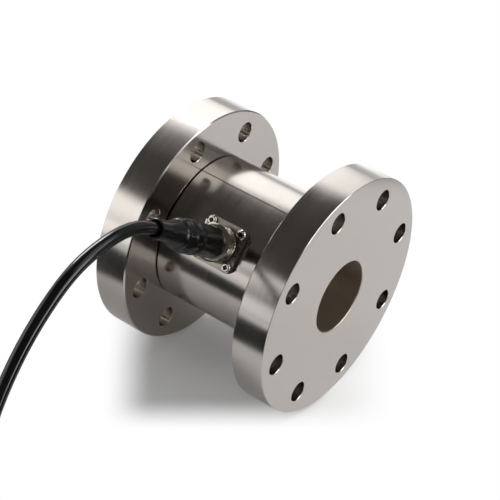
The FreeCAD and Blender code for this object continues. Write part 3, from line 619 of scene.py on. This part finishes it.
def body_form():
    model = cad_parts["torsion_body"].data
    form = bmesh.new()
    points = [form.verts.new(vert.co) for vert in model.vertices]
    for face in model.polygons:
        form.faces.new([points[i] for i in face.vertices])
    bmesh.ops.remove_doubles(form, verts=form.verts, dist=SEAM)
    moved = 0
    for vert in form.verts:
        from_axis = Vector((0.0, vert.co.y, vert.co.z - AXIS_Z))
        moved += deburr(vert, from_hole(vert.co), BOLT_HOLE_R, HOLE_CHAMFERS)
        moved += deburr(vert, from_axis, BORE_R, BORE_CHAMFERS)
        if abs(vert.co.x) > OUTER_STOCK:
            moved += deburr(vert, from_axis, FLANGE_R, RIM_CHAMFERS)
    print("chamfer points moved:", moved)
    return form


body = new_piece("flanged_body", body_form(), "sensor", "torsion_body")
print("body faces:", len(body.data.polygons))

# %% [markdown]
# ## The boot
# The boot is a black heat-shrink moulding. It is wide over the backshell, with three soft ridges, and
# narrows in an even curve to an open sleeve round the cable. One outline spun about the axis gives it,
# with the curve and the ridges from cosine formulas, so they have no corners.

# %% Boot
BOOT_R = 6.6 * MM
RIDGE_R = 0.4 * MM
RIDGES = (57.5 * MM, 63.5 * MM, 69.5 * MM)
RIDGE_REACH = 1.3 * MM
TAPER_START = 62.6 * MM
TAPER_END = 80.1 * MM
MOUTH_R = 4.05 * MM
MOUTH_HOLE_R = 3.3 * MM
BOOT_LIP = 0.3 * MM
BOOT_STEPS = 90
BOOT_SIDES = 64
MOUTH_DEPTH = 5.0 * MM      # how far before the taper's end the mouth's hole starts
OVER_BACKSHELL = ((57.8, 4.3), (51.2, 4.3), (49.7, 5.65), (41.6, 5.65))     # millimetres, inside


def boot_radius(height):
    radius = BOOT_R
    for crest in RIDGES:
        away = abs(height - crest) / RIDGE_REACH
        if away < 1:
            radius += RIDGE_R * (1 + math.cos(math.pi * away)) / 2
    share = smooth((height - TAPER_START) / (TAPER_END - TAPER_START))
    return radius + (MOUTH_R - BOOT_R) * share


def boot_outline():
    outline = [(BOOT_START, BOOT_R - BOOT_LIP)]
    span = BOOT_MOUTH - BOOT_START - 2 * BOOT_LIP
    for i in range(BOOT_STEPS + 1):
        height = BOOT_START + BOOT_LIP + span * i / BOOT_STEPS
        outline.append((height, boot_radius(height)))
    outline += [
        (BOOT_MOUTH, MOUTH_R - BOOT_LIP), (BOOT_MOUTH, MOUTH_HOLE_R + BOOT_LIP / 2),
        (BOOT_MOUTH - BOOT_LIP, MOUTH_HOLE_R), (TAPER_END - MOUTH_DEPTH, MOUTH_HOLE_R),
    ]
    return outline + in_metres(OVER_BACKSHELL)


boot_form = on_connector(spun(boot_outline(), BOOT_SIDES))
boot = new_piece("shrink_boot", boot_form, "sensor", "plug_boot")
print("boot faces:", len(boot.data.polygons))

# %% [markdown]
# ## The coupling ring
# The ring is knurled in small diamonds so that wet fingers can turn it. The knurl is two sets of
# slanted grooves. The outline is spun with a fine band of rings, and each point of the band is then
# pushed in by the deeper of the two grooves at its place. The depth is kept with the point, for painted
# shade.

# %% Coupling ring
RING_R = 7.85 * MM
KNURL_COUNT = 44
KNURL_DEPTH = 0.36 * MM
KNURL_LOW = RING_BACK + 0.55 * MM
KNURL_HIGH = RING_TOP - 0.9 * MM
KNURL_ROWS = 40
KNURL_SLANT = 1.0           # groove pitches along the axis for each pitch round it
STEPS_PER_GROOVE = 8
TOUCH = 1e-6
BACK_EDGE = ((34.6, 6.3), (34.6, 7.4), (34.85, 7.75))       # heights and radii in millimetres
FRONT_EDGE = ((40.05, 7.82), (40.15, 7.7), (40.8, 6.35))    # the front slopes in a narrow cone
RING_INSIDE = ((40.8, 5.6), (40.55, 5.35), (39.8, 5.35), (39.8, 7.08), (35.5, 7.08), (35.5, 6.3))


def ring_outline():
    step = (KNURL_HIGH - KNURL_LOW) / KNURL_ROWS
    band = [(KNURL_LOW + step * i, RING_R) for i in range(KNURL_ROWS + 1)]
    return in_metres(BACK_EDGE) + band + in_metres(FRONT_EDGE) + in_metres(RING_INSIDE)


def groove(phase):
    """Depth of a V groove, from 0 at its crests to 1 at its bottom."""
    return abs(phase % 1.0 * 2 - 1)


def knurl(form):
    dirt = form.verts.layers.float.new("dirt")
    pitch = 2 * math.pi * RING_R / KNURL_COUNT
    for vert in form.verts:
        radius = math.hypot(vert.co.x, vert.co.y)
        inside = KNURL_LOW - TOUCH < vert.co.z < KNURL_HIGH + TOUCH
        if not inside or abs(radius - RING_R) > TOUCH:
            continue
        around = math.atan2(vert.co.y, vert.co.x) / (2 * math.pi) * KNURL_COUNT
        along = (vert.co.z - KNURL_LOW) / pitch * KNURL_SLANT
        depth = max(groove(around + along), groove(around - along))
        scale = (RING_R - KNURL_DEPTH * depth) / RING_R
        vert.co.x *= scale
        vert.co.y *= scale
        # the depth sets the painted shade at the bottom of the grooves
        vert[dirt] = depth


ring_form = spun(ring_outline(), KNURL_COUNT * STEPS_PER_GROOVE)
knurl(ring_form)
on_connector(ring_form)
ring = new_piece("knurled_ring", ring_form, "coupling_ring", "coupling_ring")
print("ring faces:", len(ring.data.polygons))

# %% [markdown]
# ## The tie round the coil
# A small releasable strap holds the turns. It is a flat band that runs close round the bundle, so its
# path is a rounded rectangle, made as a bevelled box outline that is thickened, with a block for a head.

# %% Coil tie
TIE_W = 4.6 * MM
TIE_T = 0.9 * MM
TIE_GAP = 0.2 * MM
TIE_CORNER = 2.4 * MM
TIE_HEAD = (5.0 * MM, 5.4 * MM, 3.0 * MM)
HEAD_EDGE = 0.5 * MM
BUNDLE = 3 * CABLE_D        # the turns lie three wide and three high


def place_at_tie(form):
    turn = Matrix.Rotation(TIE_ANGLE, 4, "Z")
    bmesh.ops.transform(form, matrix=Matrix.Translation(COIL_CENTRE) @ turn, verts=form.verts)


def strap_form():
    form = bmesh.new()
    bmesh.ops.create_cube(form, size=1.0)
    bmesh.ops.scale(form, vec=(BUNDLE + TIE_GAP, TIE_W, BUNDLE + TIE_GAP), verts=form.verts)
    bmesh.ops.translate(form, vec=(COIL_MEAN_R, 0, BUNDLE / 2 + TIE_LIFT), verts=form.verts)
    ends = [f for f in form.faces if abs(f.normal.y) > 0.9]
    bmesh.ops.delete(form, geom=ends, context="FACES_ONLY")
    corners = [e for e in form.edges if abs((e.verts[0].co - e.verts[1].co).y) > TIE_W / 2]
    bmesh.ops.bevel(form, geom=corners, offset=TIE_CORNER, offset_type="OFFSET", segments=8, profile=0.5,
                    affect="EDGES", material=-1)
    bmesh.ops.recalc_face_normals(form, faces=form.faces)
    bmesh.ops.solidify(form, geom=form.faces, thickness=-TIE_T)
    head = bmesh.ops.create_cube(form, size=1.0)["verts"]
    bmesh.ops.scale(form, vec=TIE_HEAD, verts=head)
    top = BUNDLE + TIE_LIFT + TIE_HEAD[2] / 2
    bmesh.ops.translate(form, vec=(COIL_MEAN_R, 0, top), verts=head)
    edges = {e for v in head for e in v.link_edges}
    bmesh.ops.bevel(form, geom=list(edges), offset=HEAD_EDGE, offset_type="OFFSET", segments=3, profile=0.5,
                    affect="EDGES", material=-1)
    return form


tie_form = strap_form()
place_at_tie(tie_form)
tie = new_piece("coil_strap", tie_form, "sensor", "coil_tie")
print("strap faces:", len(tie.data.polygons))

# %% [markdown]
# ## The stripped end
# The cable ends bare, as it leaves the maker: a shrink sleeve over the end of the jacket, and four
# coloured cores, each with a short tinned tip, fanned on the top inner turn. Each is a short cord of
# its own that follows the turn, so it is made as one spline too.

# %% End sleeve and cores
END_ANGLE = math.radians(108.0)
SLEEVE_ARC = math.radians(38.0)
END_SLEEVE_D = 6.0 * MM
CORE_D = 1.2 * MM
CORE_PITCH = 1.3 * MM
TIP_D = 0.7 * MM
TOP_TURN_R = COIL_MEAN_R - CABLE_D
TOP_TURN_Z = BUNDLE - CABLE_D / 2
CORES = ("core_red", "core_black", "core_green", "core_white")
CORE_MIDDLE = (len(CORES) - 1) / 2
CORE_START = END_ANGLE - SLEEVE_ARC + math.radians(5.0)     # inside the sleeve
CORE_ARC = math.radians(76.0)   # of the first core
CORE_LOSS = math.radians(5.0)   # each next core is that much shorter
CORE_SINK = 0.2 * MM
CORE_DROP = 1.6 * MM
CORE_FAN = 0.25                 # how far a core wanders out on its way, as a share of its offset
FAN_END = 0.4                   # and the share of that which is left at its end
DROP_SPEED = 3                  # a core has dropped after a third of its arc
TIP_OVERLAP = math.radians(2.0)
TIP_ARC = math.radians(8.0)
TIP_SPREAD = 1.1                # a tip lies that much further from the middle one's place
CORE_POINTS = 12
CORE_SIDES = 5
TIP_POINTS = 4
TIP_SIDES = 4
SLEEVE_POINTS = 10
SLEEVE_START = END_ANGLE + math.radians(6.0)


def arc_points(radius, height, start, span, count, wander=0.0, drop=0.0):
    """Points along a turn, clockwise, that may wander outwards and drop as they go."""
    points = []
    for i in range(count):
        share = i / (count - 1)
        angle = start - span * share
        reach = radius + wander * math.sin(math.pi * share) + wander * FAN_END * share
        level = height - drop * smooth(share * DROP_SPEED)
        points.append(COIL_CENTRE + Vector((reach * math.cos(angle), reach * math.sin(angle), level)))
    return points


def on_sensor(piece, replaced):
    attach(piece, "sensor")
    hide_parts(replaced)


def lay_core(index, name):
    offset = (index - CORE_MIDDLE) * CORE_PITCH
    span = CORE_ARC - CORE_LOSS * index
    height = TOP_TURN_Z - CORE_SINK
    reach = TOP_TURN_R + offset
    points = arc_points(reach, height, CORE_START, span, CORE_POINTS, offset * CORE_FAN, CORE_DROP)
    core = spline_curve(name + "_wire", points, CORE_D, CORE_SIDES)
    start = CORE_START - span + TIP_OVERLAP
    reach = TOP_TURN_R + offset * TIP_SPREAD
    points = arc_points(reach, height - CORE_DROP, start, TIP_ARC, TIP_POINTS)
    tip = spline_curve(name + "_tip", points, TIP_D, TIP_SIDES)
    for piece in (core, tip):
        on_sensor(piece, name)
    return [core, tip]


sleeve_points = arc_points(TOP_TURN_R, TOP_TURN_Z, SLEEVE_START, SLEEVE_ARC, SLEEVE_POINTS)
sleeve_end = spline_curve("end_shrink_sleeve", sleeve_points, END_SLEEVE_D)
on_sensor(sleeve_end, "end_sleeve")
core_pieces = []
for index, name in enumerate(CORES):
    core_pieces += lay_core(index, name)
print("stripped end pieces:", len(core_pieces) + 1)

# %% [markdown]
# ## Turned steel
# The body is stainless steel, turned and then left bare. The tool leaves lines round the axis: rings
# on the flat faces and hoops on the round ones. Distance along the axis plus distance from it changes
# across both kinds of line, so one noise of that sum draws them all. The lines change the roughness a
# little, tilt the surface by a fine bump, and leave faint brighter and darker rings. The bore is left
# as it was bored: browner, with faint streaks along it, and one lighter band of painted reflection.

# %% Steel finishes
MICRON = 1e-6
MOSTLY = (0.3, 0.7)             # where most of a noise's values lie
LINE_RUN = 6.0                  # how fast a line changes along itself, per metre
HOOP_WIDTH = 0.12               # a broad hoop's frequency, as a share of the lines'
HOOP_RUN = 2.0
LINE_HEIGHT = 0.7               # shares of the bump
HOOP_HEIGHT = 0.9
LINE_ROUGH = (0.2, 0.8, 0.85, 1.2)      # a range of the noise, and the roughness that it gives
CLOUD_SCALE = 38.0
CLOUD_ROUGH = (0.3, 0.8, -0.02, 0.03)
CLOUD_TONE = (0.25, 0.75, 0.94, 1.0)
STEEL_DARK = 0.80
BORE_EDGE = (0.0166, 0.0162)    # radii between which the bore's own finish starts
BORE_DARK = (0.42, 0.36, 0.30)
BORE_LIGHT = (0.76, 0.69, 0.61)
BORE_ROUGH = 0.30
PAINTED_REFLECTION_LOW = (-0.004, 0.004)      # heights of the painted reflection's soft edges, from the axis
PAINTED_REFLECTION_HIGH = (0.013, 0.008)
PAINTED_REFLECTION_SHARE = 0.8                # share of the bore's colour set by the painted reflection; the streaks give the rest
STREAK_RUN = 25.0               # how fast a streak changes along the bore, per metre
STREAK_SCALE = 300.0
STEELS = {                      # colour, roughness, lines per metre, their depth in microns, streaks
    "turned_steel": ((0.540, 0.506, 0.474), 0.15, 2600.0, 2.2, 0.10),
    "polished_steel": ((0.540, 0.505, 0.470), 0.17, 1800.0, 0.15, 0.04),
    "bright_steel": ((0.56, 0.54, 0.515), 0.18, 1500.0, 3.0, 0.10),
}


def bore_colour(nodes, x, y, z):
    """The colour inside the bore: streaks along it and a lighter band of painted reflection."""
    streaks = nodes.join(x * STREAK_RUN, y * STREAK_SCALE, z * STREAK_SCALE)
    streaks = nodes.noise(streaks, 1.0, detail=3.0, rough=0.6)
    height = z - AXIS_Z
    # a lighter band of painted reflection, at these heights from the axis
    band = height.ramp(*PAINTED_REFLECTION_LOW) * height.ramp(*PAINTED_REFLECTION_HIGH)
    share = band * PAINTED_REFLECTION_SHARE + streaks * (1 - PAINTED_REFLECTION_SHARE)
    return nodes.mix(share, opaque(BORE_DARK), opaque(BORE_LIGHT))


def turned_steel(name, colour, rough, line_scale, line_depth, streak):
    material = bpy.data.materials.new(name)
    nodes = Nodes(material)
    vector, (x, y, z) = nodes.place()
    radial = nodes.length(0.0, y, z - AXIS_Z)
    across = (x + radial) * line_scale
    lines = nodes.join(across, y * LINE_RUN, z * LINE_RUN)
    lines = nodes.noise(lines, 1.0, detail=3.0, rough=0.6)
    hoops = nodes.noise(nodes.join(across * HOOP_WIDTH, y * HOOP_RUN, z * HOOP_RUN), 1.0)
    cloud = nodes.noise(vector, CLOUD_SCALE, detail=4.0, rough=0.55)
    tone = lines.ramp(*MOSTLY, 1 - streak, 1.0) * hoops.ramp(*MOSTLY, 1 - streak / 2, 1.0)
    tone = tone * cloud.ramp(*CLOUD_TONE)
    inside = radial.ramp(*BORE_EDGE)
    base = nodes.mix(tone, opaque(colour, STEEL_DARK), opaque(colour))
    base = nodes.mix(inside, base, bore_colour(nodes, x, y, z))
    roughness = rough * lines.ramp(*LINE_ROUGH) + cloud.ramp(*CLOUD_ROUGH) + inside * BORE_ROUGH
    normal = nodes.bump(lines * LINE_HEIGHT + hoops * HOOP_HEIGHT, line_depth * MICRON)
    look = {"Base Color": base, "Metallic": 1.0, "Roughness": roughness, "Normal": normal}
    nodes.finish(nodes.add("ShaderNodeBsdfPrincipled", {}, look))
    return material


finishes = {name: turned_steel(name, *look) for name, look in STEELS.items()}
print("steel finishes:", len(STEELS))

# %% [markdown]
# ## Nickel plate
# The connector's shells are nickel plated, a little yellower than steel, with a soft satin from the
# barrel finishing before plating. The ring is brighter. Painted shade darkens the bottom of its grooves
# and the driver's recesses of the small screws. Gold plate and tinned wire are made in the same way.

# %% Plated finishes
# colour of the painted shade in the knurl's grooves and in the screws' recesses
PAINTED_SHADE = (0.03, 0.028, 0.024)
PLATE_DARK = 0.62
SATIN_SCALE = 160.0
SATIN_TONE = (0.25, 0.62)
SATIN_ROUGH = (0.3, 0.7, 1.25, 0.85)
GROOVE_SHADE_TONE = (0.20, 0.75)
PIT_SCALE = 2400.0
SCREW_HALF = 7.25 * MM          # half the spacing of the square flange's screws
RECESS_R = (0.8 * MM, 1.15 * MM)
PLATED = {                      # colour, roughness, depth of the pits in microns, painted shade in the screws' recesses
    "nickel_plate": ((0.55, 0.515, 0.455), 0.17, 3.0, False),
    "dull_nickel": ((0.35, 0.32, 0.28), 0.28, 4.0, False),
    "screw_nickel": ((0.66, 0.63, 0.58), 0.12, 1.0, True),
    "knurled_nickel": ((0.60, 0.565, 0.50), 0.14, 2.0, False),
    "gold_plate": ((0.90, 0.66, 0.28), 0.22, 1.5, False),
    "tinned_strands": ((0.70, 0.69, 0.66), 0.30, 20.0, False),
}


def recess_shade(nodes, x, y, z):
    """1 in the driver's recess of each screw head of the square flange, where shade is painted, and 0
    elsewhere.
    """
    across = y * math.sin(CONNECTOR_ANGLE) - (z - AXIS_Z) * math.cos(CONNECTOR_ANGLE)
    away = nodes.length(abs(x) - SCREW_HALF, abs(across) - SCREW_HALF)
    return away.ramp(*RECESS_R, 1.0, 0.0)


def plated(name, colour, rough, pits, shaded_recesses):
    material = bpy.data.materials.new(name)
    nodes = Nodes(material)
    vector, place = nodes.place()
    cloud = nodes.noise(vector, SATIN_SCALE, detail=3.0, rough=0.6)
    fine = nodes.noise(vector, PIT_SCALE, rough=0.6)
    dirt = nodes.add("ShaderNodeAttribute", {"attribute_name": "dirt"}, {}, "Fac")
    base = nodes.mix(cloud.ramp(*SATIN_TONE), opaque(colour, PLATE_DARK), opaque(colour))
    # painted shade at the bottom of the knurl's grooves, darker where they are deeper
    base = nodes.mix(dirt.ramp(*GROOVE_SHADE_TONE), base, opaque(PAINTED_SHADE))
    if shaded_recesses:
        # painted shade in the driver's recesses of the small screws
        base = nodes.mix(recess_shade(nodes, *place), base, opaque(PAINTED_SHADE))
    roughness = rough * cloud.ramp(*SATIN_ROUGH)
    normal = nodes.bump(fine, pits * MICRON)
    look = {"Base Color": base, "Metallic": 1.0, "Roughness": roughness, "Normal": normal}
    nodes.finish(nodes.add("ShaderNodeBsdfPrincipled", {}, look))
    return material


finishes.update({name: plated(name, *look) for name, look in PLATED.items()})
print("plated finishes:", len(PLATED))

# %% [markdown]
# ## Black plastics
# The jacket is smooth soft plastic with a broad sheen, and a faint waviness from the lay of the cores
# below. The boot is satin, with the tiny orange peel of shrunk moulding. Both are near black, and what
# tells them apart is roughness and bump.

# %% Plastic finishes
PLASTICS = {                    # colour, roughness, waves and grain as per metre and microns, IOR
    "jacket_black": ((0.0035, 0.0035, 0.004), 0.13, (90.0, 20.0), (2600.0, 1.0), 1.40),
    "boot_black": ((0.0025, 0.0025, 0.0028), 0.20, (140.0, 5.0), (1900.0, 0.5), 1.32),
    "seal_rubber": ((0.014, 0.014, 0.014), 0.62, (120.0, 20.0), (1500.0, 4.0), 1.45),
    "moulded_black": ((0.016, 0.016, 0.017), 0.45, (200.0, 20.0), (1700.0, 3.0), 1.45),
    "amber_film": ((0.42, 0.20, 0.03), 0.25, (300.0, 10.0), (1500.0, 1.0), 1.45),
    "board_laminate": ((0.03, 0.16, 0.05), 0.35, (400.0, 10.0), (2500.0, 2.0), 1.45),
    "core_red": ((0.42, 0.015, 0.015), 0.30, (300.0, 20.0), (2000.0, 1.0), 1.45),
    "core_black": ((0.012, 0.012, 0.012), 0.30, (300.0, 20.0), (2000.0, 1.0), 1.45),
    "core_green": ((0.015, 0.20, 0.04), 0.30, (300.0, 20.0), (2000.0, 1.0), 1.45),
    "core_white": ((0.74, 0.74, 0.71), 0.30, (300.0, 20.0), (2000.0, 1.0), 1.45),
}
WAVE_GAIN = 1.4                 # the crests of the waves are that much lighter
WAVE_LIFT = 0.001
WAVE_ROUGH = (0.3, 0.7, 0.9, 1.15)
GRAIN_ROUGH = (0.3, 0.7, -0.02, 0.02)


def plastic(name, colour, rough, waves, grain, index):
    material = bpy.data.materials.new(name)
    nodes = Nodes(material)
    vector, _ = nodes.place()
    wave = nodes.noise(vector, waves[0])
    fine = nodes.noise(vector, grain[0], detail=3.0, rough=0.6)
    base = nodes.mix(wave.ramp(*MOSTLY), opaque(colour), opaque(colour, WAVE_GAIN, WAVE_LIFT))
    roughness = rough * wave.ramp(*WAVE_ROUGH) + fine.ramp(*GRAIN_ROUGH)
    normal = nodes.bump(fine, grain[1] * MICRON, nodes.bump(wave, waves[1] * MICRON))
    look = {"Base Color": base, "Roughness": roughness, "Normal": normal, "IOR": index}
    nodes.finish(nodes.add("ShaderNodeBsdfPrincipled", {}, look))
    return material


finishes.update({name: plastic(name, *look) for name, look in PLASTICS.items()})
print("plastic finishes:", len(PLASTICS))

# %% [markdown]
# ## Dressing the pieces
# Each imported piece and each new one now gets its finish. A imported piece's mesh isn't touched: only the
# material in its slots changes.

# %% Which piece has which finish
PACKED_PIECES = {
    "turned_steel": ("torsion_body",),
    "polished_steel": ("sleeve_socket_half", "sleeve_plain_half"),
    "bright_steel": ("sleeve_screws", "plug_snap_ring"),
    "dull_nickel": ("receptacle_shell",),
    "screw_nickel": ("receptacle_screws",),
    "knurled_nickel": ("coupling_ring",),
    "nickel_plate": ("plug_shell", "plug_backshell"),
    "gold_plate": ("receptacle_pins", "plug_sockets"),
    "seal_rubber": ("front_sealing_ring", "rear_sealing_ring", "receptacle_gasket", "plug_seal"),
    "moulded_black": ("receptacle_insert", "plug_insert", "cable_grip", "coil_tie"),
    "boot_black": ("plug_boot", "end_sleeve"),
    "jacket_black": ("cable_run", "cable_coil"),
    "amber_film": ("strain_gauges",),
    "board_laminate": ("terminal_board",),
    "core_red": ("gauge_wires", "receptacle_wires", "plug_wires", "core_red"),
    "core_black": ("core_black",),
    "core_green": ("core_green",),
    "core_white": ("core_white",),
}
NEW_PIECES = (
    (body, "turned_steel"), (cable, "jacket_black"), (boot, "boot_black"),
    (ring, "knurled_nickel"), (tie, "moulded_black"), (sleeve_end, "boot_black"),
)
print("finishes in use:", len(PACKED_PIECES))

# %% Dress


def dress(piece, material):
    if len(piece.data.materials) == 0:
        piece.data.materials.append(material)
    for index in range(len(piece.data.materials)):
        piece.data.materials[index] = material


dressed = 0
for finish, names in PACKED_PIECES.items():
    for name in names:
        dress(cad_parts[name], finishes[finish])
        dressed += 1
for piece, finish in NEW_PIECES:
    dress(piece, finishes[finish])
for piece in core_pieces:
    core, part = piece.name.rsplit("_", 1)
    dress(piece, finishes["tinned_strands" if part == "tip" else core])
print("dressed pieces:", dressed + len(NEW_PIECES) + len(core_pieces))

# %% [markdown]

# %% [markdown]
# ## The end
# The picture is shown with Blender's Standard view transform. A cord's box is taken round its control
# points, so it is up to 1 mm wide of the cord, which itself stays inside.

# %% The end
bpy.context.scene.view_settings.view_transform = "Standard"
